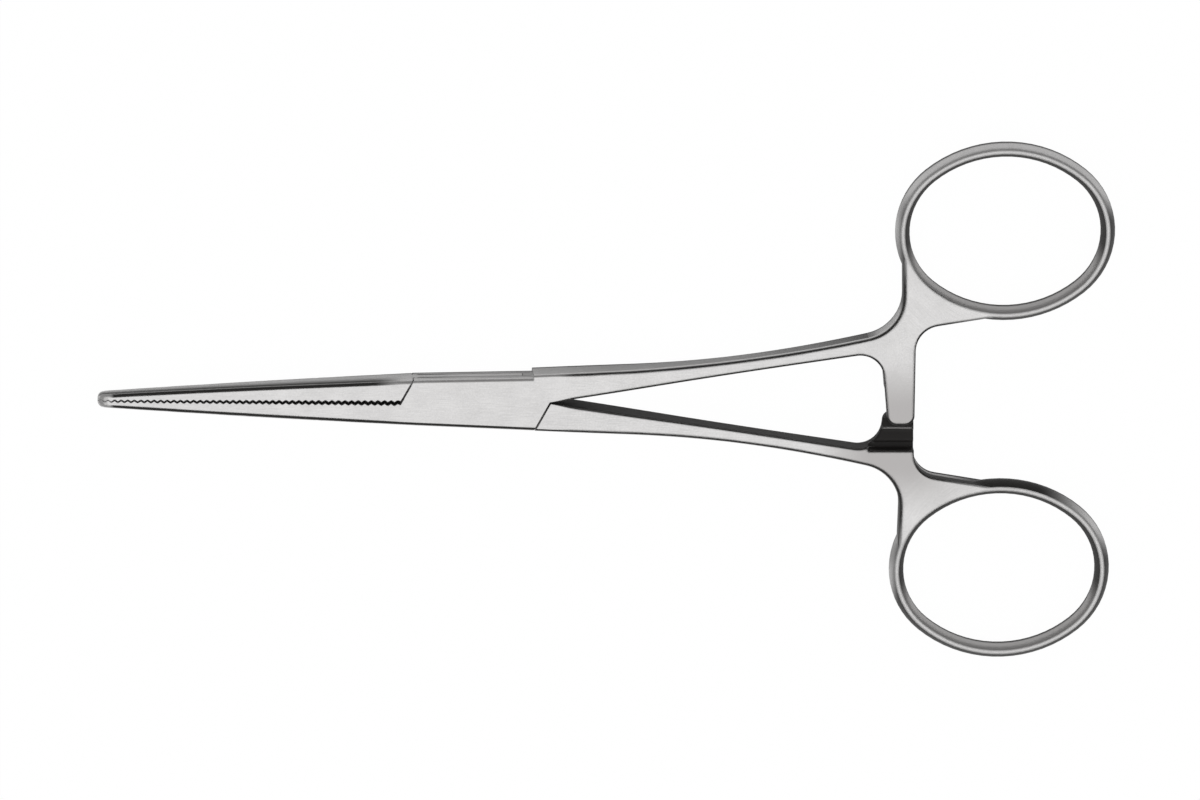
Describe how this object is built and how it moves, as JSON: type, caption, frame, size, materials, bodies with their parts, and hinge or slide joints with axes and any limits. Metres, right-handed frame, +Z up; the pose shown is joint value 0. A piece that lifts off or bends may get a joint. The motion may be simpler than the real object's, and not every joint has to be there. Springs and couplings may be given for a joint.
{
  "type": "hemostat forceps",
  "caption": "Straight locking forceps with serrated jaws, a box lock, a ratchet between the shanks and oval finger rings.",
  "frame": {"origin": "on the axis of the joint pin, on the back face of the box, which the instrument lies on", "axes": "+X along the instrument from the jaws to the finger rings, +Y from the tongue half's ring to the box half's ring, +Z up, out of the front of the box"},
  "size_m": [0.1397, 0.0732, 0.0043],
  "materials": {
    "satin_steel": "fine satin, bead blasted and lightly brushed along the shanks",
    "pin_steel": "ground flush with the box and brushed with it"
  },
  "bodies": {
    "box_side": {"box_half": "satin_steel", "joint_pin": "pin_steel"},
    "tongue_side": {"tongue_half": "satin_steel"}
  },
  "joints": [
    {"name": "lock_hinge", "type": "hinge", "parent": "box_side", "child": "tongue_side", "pos_m": [0, 0, 0.00215], "axis": [0, 0, -1], "range_deg": [0, 60]}
  ]
}
